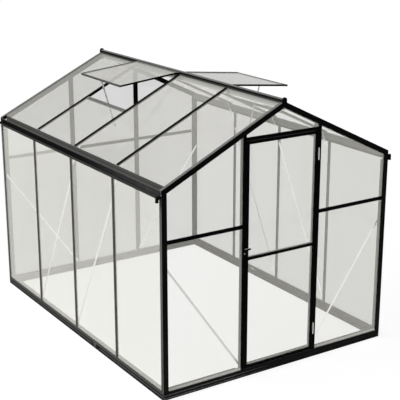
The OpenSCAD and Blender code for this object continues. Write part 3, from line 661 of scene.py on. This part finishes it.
# %% Gutter shade strips
GUTTER_END = HALF_L - 0.0285
COVE_LOW, COVE_HIGH, COVE_BACK, COVE_BULGE = 1429.4, 1469.6, 4.9, 3.2
arch = np.linspace(1.0, -1.0, 15)
cove_depth = COVE_BACK - COVE_BULGE * (1.0 - arch ** 4)
cove_height = (COVE_LOW + COVE_HIGH) / 2 + arch * (COVE_HIGH - COVE_LOW) / 2
cove = np.stack([cove_depth, cove_height], axis=1)
wall_foot = SIDES * HALF_W * X
skin("gutter_cove_shade_strips",
     swept(wall_foot - GUTTER_END * Y, wall_foot + GUTTER_END * Y, -SIDES * X, Z, cove),
     cove_shade_strip, "frame")

# %% [markdown]
# Clip-on capping covers the roof bars. It is a soft crown a little wider than the bar, pressed on from
# above, and it runs from the gutter to the ridge flashing.

# %% Roof cappings
SLOPE = math.atan2(RIDGE - EAVE, HALF_W)
BAR_YS = np.array([-BAY, 0.0, BAY])
CAP_FROM, CAP_TO = 0.043, HALF_W - 0.0202
CAPPING_HALF, CAPPING_FOOT, CAPPING_EDGE, CAPPING_CROWN = 14.5, 0.15, 0.7, 2.2
crown = np.linspace(1.0, -1.0, 13)
capping = np.concatenate([
    [[-CAPPING_HALF, CAPPING_FOOT], [CAPPING_HALF, CAPPING_FOOT]],
    np.stack([CAPPING_HALF * crown, CAPPING_EDGE + CAPPING_CROWN * (1.0 - crown ** 2)], axis=1),
])


def on_left_slope(d, y):
    """Points of the left roof plane at the distance d from the wall, one for each y."""
    height = EAVE + d * math.tan(SLOPE)
    return np.stack([np.full_like(y, d - HALF_W), y, np.full_like(y, height)], axis=1)


slope_normal = np.array([-math.sin(SLOPE), 0.0, math.cos(SLOPE)])
low, high = on_left_slope(CAP_FROM, BAR_YS), on_left_slope(CAP_TO, BAR_YS)
skin("roof_bar_cappings",
     np.concatenate([swept(low * flip, high * flip, Y, slope_normal * flip, capping)
                     for flip in (np.ones(3), MIRROR_X)]),
     rubber, "frame")

# %% [markdown]
# A rubber strip is pushed over the side edges of each vent, so that a closed vent seals on its bars.
# It is a flat oval in section, and it runs along the leaf from the hinge to the free edge.

# %% Vent edge strips
LEAF_ANGLE = SLOPE - math.radians(20.0)
LEAF_HINGE = np.array([-0.009, 0.0, 1.957])
LEAF_WAY = np.array([-math.cos(LEAF_ANGLE), 0.0, -math.sin(LEAF_ANGLE)])
LEAF_UP = np.array([-math.sin(LEAF_ANGLE), 0.0, math.cos(LEAF_ANGLE)])
LEAF_FROM, LEAF_TO, LEAF_INSET = 0.030, 0.529, 0.0018
STRIP_THICK, STRIP_WIDE, STRIP_FLATNESS = 1.6, 6.8, 0.6
oval = np.linspace(0.0, 2.0 * np.pi, 16, endpoint=False)
strip_rise = np.sign(np.sin(oval)) * np.abs(np.sin(oval)) ** STRIP_FLATNESS
strip_section = np.stack([STRIP_THICK * np.cos(oval), STRIP_WIDE * strip_rise], axis=1)
leaf_edges = LEAF_HINGE + np.array([[LEAF_INSET], [BAY - LEAF_INSET]]) * Y
near, away = leaf_edges + LEAF_WAY * LEAF_FROM, leaf_edges + LEAF_WAY * LEAF_TO
skin("vent_edge_strips",
     np.concatenate([swept(near * spin, away * spin, Y, LEAF_UP * spin, strip_section)
                     for spin in (np.ones(3), HALF_TURN)]),
     strip_rubber, "frame")

# %% [markdown]
# A thin gasket shows beside every cap, where the section presses on its pane. Each is a small quarter
# round along one edge, so the work is a table of edges: where it starts and ends, and which way the
# pane lies.

# %% Wall gaskets
BEAD = [[0.0, 0.0], [2.4, 0.0], [2.1, 0.8], [1.3, 1.5], [0.0, 1.9]]
PANE_FACE, BASE_TOP, GUTTER_LOW = 0.00205, 0.0602, 1.4128
CAP_HALF, SIDE_LEG = 0.012, 0.028
wall_x = HALF_W - PANE_FACE
bar_edges = [(y + s * CAP_HALF, s) for y in BAR_YS for s in (-1.0, 1.0)]
corner_edges = [(s * (SIDE_LEG - HALF_L), s) for s in (-1.0, 1.0)]
wall_edges = np.array(bar_edges + corner_edges)
edge_y, edge_way = wall_edges[:, :1], wall_edges[:, 1:]
wall_rings = []
for s in (-1.0, 1.0):
    edge = s * wall_x * X + edge_y * Y
    wall_rings.append(swept(edge + BASE_TOP * Z, edge + GUTTER_LOW * Z, edge_way * Y, s * X, BEAD))
skin("wall_gaskets", np.concatenate(wall_rings), rubber, "frame")

# %% [markdown]
# The gables have the same gaskets, upright along the posts and level along the rails. The back gable
# has one bay more than the front, where the door stands.

# %% Gable gaskets
LEG, CORNER_TOP = 0.039, 1.452
POST_X, POST_TOP, RAIL_Z = 0.319, 1.742, 1.124
gable_y = HALF_L - PANE_FACE
outer_edges = [(-HALF_W + LEG, 1.0, CORNER_TOP), (-POST_X - CAP_HALF, -1.0, POST_TOP)]
inner_edges = [(-POST_X + CAP_HALF, 1.0, POST_TOP)]
outer_spans = [(-HALF_W + LEG, -POST_X - CAP_HALF), (POST_X + CAP_HALF, HALF_W - LEG)]
inner_spans = [(-POST_X + CAP_HALF, POST_X - CAP_HALF)]


def gable_gaskets(way, edges, spans):
    """Gaskets of one gable (way -1 the front, 1 the back). Edges are (x, way to the pane, top) of the
    left half, and the right half mirrors the first two; each span has a gasket over and under it."""
    half = np.array(edges)
    upright = np.concatenate([half, half * (-1.0, -1.0, 1.0)])
    at, pane_way, top = upright[:, :1], upright[:, 1:2], upright[:, 2:]
    face = way * gable_y * Y
    stand = swept(at * X + face + BASE_TOP * Z, at * X + face + top * Z, pane_way * X, way * Y, BEAD)
    rails = np.array([(x0, x1, s) for x0, x1 in spans for s in (-1.0, 1.0)])
    from_x, to_x, over = rails[:, :1], rails[:, 1:2], rails[:, 2:]
    level = face + (RAIL_Z + over * CAP_HALF) * Z
    lie = swept(from_x * X + level, to_x * X + level, over * Z, way * Y, BEAD)
    return np.concatenate([stand, lie])


front_gaskets = gable_gaskets(-1.0, outer_edges, outer_spans)
back_gaskets = gable_gaskets(1.0, outer_edges + inner_edges, outer_spans + inner_spans)
skin("gable_gaskets", np.concatenate([front_gaskets, back_gaskets]),
     rubber, "frame")

# %% [markdown]
# Behind the panes of both gables a soft bead stands on the inner lip of the base rail, and the door
# has one on its lowest rail. They are small round-topped outlines swept across; the door's bead rides
# on the door.

# %% Sill beads
LIP_IN, LIP_TOP, LIP_BEAD = 0.0355, 0.0641, 6.5
DOOR_RAIL_IN, DOOR_RAIL_TOP, DOOR_BEAD = 0.0215, 0.0861, 9.0
SILL_NEAR, SILL_FAR, DOOR_INNER = 0.360, 0.925, 0.2805


def sill_bead(height):
    """The outline in mm of a bead three millimetres thick with a rounded top."""
    shoulder = height - 1.5
    return [[0.0, 0.0], [3.0, 0.0], [3.0, shoulder], [2.2, height], [0.8, height], [0.0, shoulder]]


lip = -(HALF_L - LIP_IN) * Y + LIP_TOP * Z
lip_rings = [swept(s * SILL_NEAR * X + at, s * SILL_FAR * X + at, inward, Z, sill_bead(LIP_BEAD))
             for at, inward in ((lip, Y), (lip * HALF_TURN, -Y)) for s in (-1.0, 1.0)]
skin("sill_beads", np.concatenate(lip_rings), rubber, "frame")
door_sill, door_half = -(HALF_L - DOOR_RAIL_IN) * Y + DOOR_RAIL_TOP * Z, DOOR_INNER * X
skin("door_sill_bead",
     swept(door_sill - door_half, door_sill + door_half, Y, Z, sill_bead(DOOR_BEAD)),
     rubber, "door")

# %% [markdown]
# Hexagon bolts with washers hold the braces and rails. A bolt's profile is a round washer, a six-sided
# head and a small chamfer, turned about an axis.

# %% Turned parts
BOLT = [(6.0, 0.0, 0), (6.0, 0.9, 0), (4.0, 0.9, 1), (4.0, 3.6, 1), (3.5, 4.2, 0)]


def turned(places, axes, profile, sides=24):
    """Turned parts: profile rows are (radius, height, six) in mm, and a row with six = 1 is a hexagon,
    whose radius is stretched by one over the cosine of the angle from the middle of its side."""
    places, axes = rows(places, axes)
    axes = axes / np.linalg.norm(axes, axis=1, keepdims=True)
    helper = np.eye(3)[np.argmin(np.abs(axes), axis=1)]
    first = np.cross(helper, axes)
    first /= np.linalg.norm(first, axis=1, keepdims=True)
    second = np.cross(axes, first)
    profile = np.asarray(profile, float)
    angle = np.linspace(0.0, 2.0 * np.pi, sides, endpoint=False)
    six = 1.0 / np.cos(np.mod(angle, np.pi / 3) - np.pi / 6)
    radius = MM * profile[:, :1] * np.where(profile[:, 2:] > 0, six, 1.0)
    circle = np.cos(angle)[:, None] * first[:, None] + np.sin(angle)[:, None] * second[:, None]
    lift = MM * profile[:, 1][None, :, None, None] * axes[:, None, None]
    return places[:, None, None] + radius[None, :, :, None] * circle[:, None] + lift


print("a bolt has", len(BOLT), "rings")

# %% [markdown]
# Only the places of the bolts differ: at both ends of each brace, at the ends of the gable rails and
# on the short braces under the eaves. The right wall and the back gable have those of the left wall
# and the front gable, turned half round.

# %% Bolts
CORE = 0.0082
BRACE_IN, WEB_EDGE, BRACE_FOOT, BRACE_TOP = CORE + 0.002, 0.003, 0.080, 1.275
GABLE_IN, GABLE_START, GABLE_TOP = 0.036, 0.0122, 0.985
WALL_BOLT_IN, GABLE_BOLT_IN = 0.0048, 0.008
RAIL_BOLT_IN, RAIL_BOLT_UP = 0.010, 0.006
KNEE_SIDE, KNEE_BOLTS = 0.003, ((0.0131, 1.355), (0.088, 1.5085))


def both_ends(top, foot, reach):
    """The points at a horizontal distance `reach` from each end of a straight brace, on its line; a
    point is (place along the wall, height)."""
    top, foot = np.asarray(top), np.asarray(foot)
    step = (foot - top) * reach / abs(foot[0] - top[0])
    return top + step, foot - step


wall_places = np.array([
    (-HALF_W + BRACE_IN, y, z) for y_top, y_foot in zip(BAR_YS[:-1], BAR_YS[1:])
    for y, z in both_ends((y_top + WEB_EDGE, BRACE_TOP), (y_foot - WEB_EDGE, BRACE_FOOT), WALL_BOLT_IN)])
gable_brace = (-HALF_W + GABLE_START, GABLE_TOP), (-POST_X, BRACE_FOOT)
gable_places = [(x, -HALF_L + GABLE_IN, z) for x, z in both_ends(*gable_brace, GABLE_BOLT_IN)]
rail_ends = ((-HALF_W + LEG + RAIL_BOLT_IN, 1.0), (-POST_X - CAP_HALF - RAIL_BOLT_IN, -1.0))
rail_places = [(x, -HALF_L + CORE, RAIL_Z + s * RAIL_BOLT_UP) for x, s in rail_ends]
left_places = np.array(gable_places + rail_places)
front_places = np.concatenate([left_places, left_places * MIRROR_X])
knee_places = np.array([(-HALF_W + x, y + KNEE_SIDE, z) for y in BAR_YS for x, z in KNEE_BOLTS])
bolt_sets = [
    (wall_places, X), (wall_places * HALF_TURN, -X),
    (front_places, Y), (front_places * HALF_TURN, -Y),
    (knee_places, Y), (knee_places * MIRROR_X, Y),
]
skin("frame_bolts", np.concatenate([turned(places, axis, BOLT) for places, axis in bolt_sets]),
     aluminium, "frame")

# %% [markdown]
# Each long base rail is spliced from two lengths. A smooth plate covers the joint, and dark moulded
# plates beside it stand in for the shade in the openings there. On the inside a bright metal plate
# stands in for the pale daylight at the upper edge of the larger opening. All of these are plates
# with round corners.

# %% Plates
RIM_SHARE, CORNER_POINTS = 0.6, 24


def round_plate(middles, across, upright, outward, size, corner, thick):
    """Plates in mm with round corners and a chamfered rim: a point is the middle of its corner's arc
    plus the radius of its ring, and the last ring is smaller and higher."""
    middles, across, upright, outward = rows(middles, across, upright, outward)
    step = np.pi / CORNER_POINTS
    angle = np.linspace(0.0, 2.0 * np.pi, CORNER_POINTS, endpoint=False) + step
    turn = np.where(np.sum(np.cross(across, upright) * outward, axis=1) < 0, -1.0, 1.0)[:, None]
    rim = np.stack([np.cos(angle), np.sin(angle)], axis=1)
    core = np.sign(rim) * (np.asarray(size) / 2 - corner)
    rings = []
    for radius, height in ((corner, 0.0), (corner, thick * RIM_SHARE), (corner * RIM_SHARE, thick)):
        flat = MM * (core + rim * radius)
        level = middles[:, None] + flat[None, :, :1] * (across * turn)[:, None]
        rings.append(level + flat[None, :, 1:] * upright[:, None] + MM * height * outward[:, None])
    return np.stack(rings, axis=1)


print("a plate has", CORNER_POINTS, "points round its rim")

# %% [markdown]
# The splice of the left rail is placed by numbers along the rail and up from the ground. The right
# rail is the left one turned half round, so every piece of it comes in a pair.

# %% Base splices
SPLICE_SHADE_PLATES = [(-0.269, 0.0205, (23.0, 27.0)), (-0.354, 0.0250, (46.0, 31.0))]
PLUG_CORNER, PLUG_THICK = 3.0, 1.2
PLATE_Y, PLATE_Z, PLATE_SIZE, PLATE_CORNER, PLATE_THICK = -0.3065, 0.0215, (44.0, 41.0), 2.0, 2.4
WINDOW_Y, WINDOW_Z, WINDOW_SIZE, WINDOW_CORNER, WINDOW_THICK = -0.351, 0.0350, (45.0, 10.0), 4.0, 0.8
WINDOW_DOT = (-0.304, 0.029)
RAIL_WALL, CLEAR = 0.005, 0.0002
SCREW = [(3.4, 0.0, 0), (3.4, 0.6, 0), (2.6, 1.5, 0), (1.4, 1.9, 0), (1.2, 1.2, 0)]
PLATE_FACE, SCREW_APART = 0.0026, 0.012


def on_left_rail(depth, y, z):
    """A point of the left base rail at a depth behind its outer face, and the same turned half round."""
    point = np.array([-HALF_W + depth, y, z])
    return np.stack([point, point * HALF_TURN])


rail_out = SIDES * X
# Painted shade: dark plates stand in for the shade in the openings.
for index, (y, z, size) in enumerate(SPLICE_SHADE_PLATES):
    skin("splice_shade_plates_%d" % (index + 1),
         round_plate(on_left_rail(-CLEAR, y, z), SIDES * Y, Z, rail_out, size, PLUG_CORNER, PLUG_THICK),
         plastic, "frame")
plate_middle = on_left_rail(-CLEAR, PLATE_Y, PLATE_Z)
skin("splice_plates",
     round_plate(plate_middle, SIDES * Y, Z, rail_out, PLATE_SIZE, PLATE_CORNER, PLATE_THICK),
     powder_coat, "frame")
screws = np.concatenate([on_left_rail(-PLATE_FACE, PLATE_Y + s * SCREW_APART, PLATE_Z)
                         for s in (-1.0, 1.0)])
skin("splice_screws", turned(screws, np.tile(rail_out, (2, 1)), SCREW),
     plastic, "frame")
# Painted light: a bright plate stands in for the daylight in the larger opening.
window_middle = on_left_rail(RAIL_WALL + CLEAR, WINDOW_Y, WINDOW_Z)
skin("splice_daylight_plates",
     round_plate(window_middle, SIDES * Y, Z, -rail_out, WINDOW_SIZE, WINDOW_CORNER, WINDOW_THICK),
     aluminium, "frame")
skin("splice_daylight_dots", turned(on_left_rail(RAIL_WALL + CLEAR, *WINDOW_DOT), -rail_out, SCREW),
     aluminium, "frame")

# %% [markdown]
# The rain outlets end in a beaded rim that keeps a hose from slipping off. A rim is ring shaped: its
# little section is carried round the pipe, and the last ring closes on the first.

# %% Outlet rims
RIM = [(11.05, 0.0, 0), (12.4, 0.5, 0), (12.9, 2.0, 0), (12.4, 3.5, 0), (11.05, 4.0, 0)]
RIM_SIDES = 32
OUTLET = np.array([HALF_W + 0.026, HALF_L - 0.013, 1.4035])
corners = np.array([(sx, sy, 1.0) for sx in (-1.0, 1.0) for sy in (-1.0, 1.0)])
skin("outlet_rims", turned(OUTLET * corners, Z, RIM, RIM_SIDES),
     plastic, "frame", ring_shaped=True)

# %% [markdown]
# The door hangs on pins with small round heads above and below each hinge. The heads belong to the
# post, as the pins do.

# %% Hinge heads
HINGE_AXIS = (0.3045, -1.3125)
HINGE_HEIGHTS, HINGE_HALF = (0.230, 1.549), 0.040
HEAD = [(6.0, 0.05, 0), (6.3, 0.8, 0), (5.6, 2.4, 0), (3.6, 3.8, 0), (1.4, 4.3, 0)]
head_ways = [(height, s) for height in HINGE_HEIGHTS for s in (-1.0, 1.0)]
heads = np.array([(*HINGE_AXIS, height + s * HINGE_HALF) for height, s in head_ways])
head_axes = np.array([s * Z for _, s in head_ways])
skin("hinge_heads", turned(heads, head_axes, HEAD), cast_metal, "frame")

# %% [markdown]
# Three screws belong to the lock: one in the middle of the turning bar, one at the foot of its back
# plate, and a dull metal one on the post beside it. Each is parented to its own body.

# %% Lock screws
HANDLE_X, HANDLE_Z, HANDLE_FACE = -0.294, 0.962, -HALF_L - 0.0211
ROSE_SCREW_Z, ROSE_FACE = HANDLE_Z - 0.041, -HALF_L - 0.0061
KEEPER_X, KEEPER_Z, KEEPER_FACE = -0.3139, 0.9286, -HALF_L - 0.0001
skin("handle_screw", turned((HANDLE_X, HANDLE_FACE, HANDLE_Z), -Y, SCREW),
     plastic, "handle")
skin("rose_screw", turned((HANDLE_X, ROSE_FACE, ROSE_SCREW_Z), -Y, SCREW),
     plastic, "door")
skin("keeper_screw", turned((KEEPER_X, KEEPER_FACE, KEEPER_Z), -Y, BOLT),
     dull_metal, "frame")

# %% [markdown]
# A vent stay has a row of holes, each with a pressed rim. The rims are small rings on both faces of
# the stay, spaced along its length.

# %% Stay eyelets
EYELET = [(2.6, 0.02, 0), (4.2, 0.02, 0), (4.0, 0.7, 0), (2.8, 0.7, 0)]
EYELET_SIDES = 16
STAY_TOP = np.array([-0.5232, 0.32325, 1.8937])
STAY_WAY = np.array([0.284, 0.0, -0.959])
STAY_HALF = 0.0015
HOLE_REACHES = np.array([[0.07], [0.13], [0.19], [0.25], [0.31]])
holes = STAY_TOP + STAY_WAY * HOLE_REACHES
eyelets = [turned((holes + s * STAY_HALF * Y) * spin, s * Y * spin, EYELET, EYELET_SIDES)
           for spin in (np.ones(3), HALF_TURN) for s in (-1.0, 1.0)]
skin("stay_eyelets", np.concatenate(eyelets), plastic, "frame", ring_shaped=True)

# %% [markdown]
# The studio is a white floor under a wide soft light from the left and above, as in the photograph:
# faces towards the left are grey, and faces towards the door's side stay black, helped by painted shade
# in the coat. The floor and the sky are white for the eye, for mirrors and for clear panes, but throw
# little light back, so the black keeps its depth. The light's strength is the one at which a white floor
# renders just white, and part of the floor's white is its own, so the shadow on it stays faint.

# %% Floor
SEEN_DIRECTLY = ("Is Camera Ray", "Is Glossy Ray", "Is Transmission Ray")
FLOOR_HALF, FLOOR_BOUNCE, FLOOR_OWN = 60.0, 0.02, 0.84
floor_mesh = bpy.data.meshes.new("floor")
floor_corners = FLOOR_HALF * np.array([(-1, -1, 0), (1, -1, 0), (1, 1, 0), (-1, 1, 0)])
floor_mesh.from_pydata(floor_corners.tolist(), [], [(0, 1, 2, 3)])
floor = new_object("floor", floor_mesh)
floor_finish, floor_shader, floor_place = new_finish(
    "pale_floor", Roughness=0.9, Specular_IOR_Level=0.0, Emission_Strength=1.0)
floor_seen = rays(floor_place, *SEEN_DIRECTLY)
plug(floor_shader, "Base Color", floor_seen.mix(grey(FLOOR_BOUNCE), grey(1.0 - FLOOR_OWN)))
plug(floor_shader, "Emission Color", floor_seen.mix(BLACK, grey(FLOOR_OWN)))
dress(floor, floor_finish)
print("floor", 2 * FLOOR_HALF, "m wide")

# %% [markdown]
# The sky is a plain white world, and the light is one sun with a wide angle, as soft as a large
# studio lamp. The view transform is Standard, so a colour comes out as it is written.

# %% Sky and light
SKY_LIGHT = 0.02
SUN_STRENGTH, SUN_ANGLE = 3.6, math.radians(50)
SUN_FROM = (-0.50, 0.06, 0.86)
sky = bpy.data.worlds.new("sky")
sky.use_nodes = True
sky_node = sky.node_tree.nodes["Background"]
sky_node.inputs["Color"].default_value = WHITE
plug(sky_node, "Strength", rays(Wire(sky.node_tree), *SEEN_DIRECTLY) * (1.0 - SKY_LIGHT) + SKY_LIGHT)
bpy.context.scene.world = sky

sun_data = bpy.data.lights.new("sun", "SUN")
sun_data.energy, sun_data.angle = SUN_STRENGTH, SUN_ANGLE
sun = new_object("sun", sun_data)
sun.rotation_mode = "QUATERNION"
sun.rotation_quaternion = Vector(SUN_FROM).to_track_quat("Z", "Y")
bpy.context.scene.view_settings.view_transform = "Standard"
print("light from", SUN_FROM)
